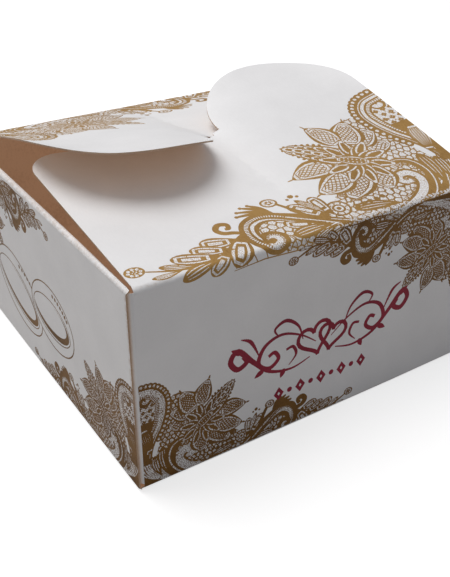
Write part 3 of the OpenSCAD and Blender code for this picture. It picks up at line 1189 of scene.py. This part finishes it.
def side_strip(a, b, depth):
    """b runs up the wall, over the ridge's two folds and down the liner; a runs to the front."""
    r = RIDGE_R - depth * CARD
    if b <= side_top:
        return -half_w + depth * CARD, -a, b
    if b < ridge_start:
        angle = (b - side_top) / RIDGE_R
        return -half_w + RIDGE_R - r * cos(angle), -a, side_top + r * sin(angle)
    if b <= ridge_end:
        return -half_w + RIDGE_R + b - ridge_start, -a, wall_h - depth * CARD
    angle = min((b - ridge_end) / RIDGE_R, pi / 2)
    return (-half_w + RIDGE_W - RIDGE_R + r * sin(angle), -a,
            side_top + r * cos(angle) - max(0.0, b - liner_top))


def low_front(x, y):
    return half_d - SMALL_LACE * x, SMALL_LACE * y


def high_back(x, y):
    return SMALL_LACE * x - half_d, wall_h - SIDE_HANG_DOWN - SMALL_LACE * y


side_print = (
    laid(small_lace, low_front, SMALL_SHADED, -SMALL_NET_SHADED)
    + laid(small_lace, high_back, SMALL_SHADED, -SMALL_NET_SHADED)
    + laid(rings, lambda y, z: (-y, z))
)
side_reach = half_d - 0.1
NICK = 0.8
side_outline = [
    (-side_reach + NICK, side_foot), (side_reach - NICK, side_foot),
    (side_reach, side_foot + NICK), (side_reach, side_top), (-side_reach, side_top),
    (-side_reach, side_foot + NICK),
]
liner_reach = half_d - 4.5
LINER_R = 3
liner_outline = [(-liner_reach, liner_top), (liner_reach, liner_top)]
for side in (1, -1):
    for k in range(7):
        angle = pi / 12 * (k if side == 1 else 6 - k)
        liner_outline.append((side * (liner_reach - LINER_R + LINER_R * cos(angle)),
                              liner_foot - LINER_R + LINER_R * sin(angle)))
liner_axis = {"left": -half_w + RIDGE_W - RIDGE_R, "right": half_w - RIDGE_W + RIDGE_R}

for side, place in (("left", side_strip), ("right", turned(side_strip))):
    wall = cut_card(side + "_wall_card", side_outline, place, side_print, (18, 14), INKS)
    settle(wall, "box", side + "_wall")
    fold = cut_card(side + "_ridge_fold", oblong(-side_reach, side_top, side_reach, ridge_start),
                    place, cell=(30, 0.17))
    settle(fold, "box", side + "_ridge_crease")
    ridge = cut_card(side + "_ridge_card",
                     oblong(-side_reach, ridge_start, side_reach, ridge_end),
                     place, cell=(30, 1))
    settle(ridge, "box", side + "_ridge")
    fold = cut_card(side + "_liner_fold",
                    [(-side_reach, ridge_end), (side_reach, ridge_end),
                     (liner_reach, liner_top), (-liner_reach, liner_top)],
                    place, cell=(30, 0.17))
    x = liner_axis[side]
    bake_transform(fold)
    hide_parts(side + "_liner_crease")
    liner = cut_card(side + "_liner_card", liner_outline, place, cell=(30, 30))
    settle(liner, side + "_liner", side + "_liner")


# ------------ lid creases and lid flaps
# Each lid flap ends in one half round lobe and one long rising shoulder. The flaps cross at the
# neck between the two, so that each lobe lies on top of the other flap and holds it shut.
LID_INSET = half_w - crease_reach
NECK_GAP, NECK_HALF = 4.2, 1.3
LOBE_R = (half_w - LID_INSET - NECK_GAP) / 2
LOBE_S, LOBE_V = LID_INSET + LOBE_R, half_d + 1
CROSS_S, CROSS_V = half_w - NECK_HALF, half_d - 0.4
RISE_S = half_w + NECK_HALF
SHOULDER_R = 11
SHOULDER_S, SHOULDER_V = 2 * half_w - LID_INSET - SHOULDER_R, half_d + 8.5
flap_start = 1.4


def unrolled(s, v):
    """A point of the lid, given across and out from its axis, as a place on the end strip."""
    _, turn, meet, reach, start_z = lid_fold(s)
    return half_w - s, v - meet - reach + start_z - LID_FOLD_Z + LID_FOLD_R * turn


free_edge = [
    (LOBE_S - LOBE_R * cos(radians(a)), LOBE_V + LOBE_R * sin(radians(a)))
    for a in range(0, 181, 5)
]
free_edge += [(CROSS_S - 0.5, LOBE_V), (CROSS_S, CROSS_V)]
free_edge += [
    (RISE_S + (SHOULDER_S - RISE_S) * k / 12,
     CROSS_V + (SHOULDER_V - CROSS_V) * (1 - cos(pi * k / 12)) / 2)
    for k in range(12)
]
free_edge += [
    (SHOULDER_S + SHOULDER_R * sin(radians(b)),
     SHOULDER_V - SHOULDER_R * (1 - cos(radians(b))))
    for b in range(0, 91, 9)
]
flap_outline = [(-crease_reach, flap_start), (crease_reach, flap_start)]
flap_outline += [unrolled(s, v) for s, v in free_edge]
crease_outline = oblong(-crease_reach, wall_top, crease_reach, flap_start, 24)
for side, place, facing in (("front", front_strip, 1), ("back", back_strip, -1)):
    crease = cut_card(side + "_lid_fold", crease_outline, place, end_print, (3, 0.12), INKS)
    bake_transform(crease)
    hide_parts(side + "_lid_crease")
    flap = cut_card(side + "_flap_card", flap_outline, place, end_print, (4, 4), INKS)
    settle(flap, side + "_flap", side + "_lid_flap")


size_lines = [[list(v) for v in (cad_low, cad_high)], [list(v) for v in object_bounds()]]
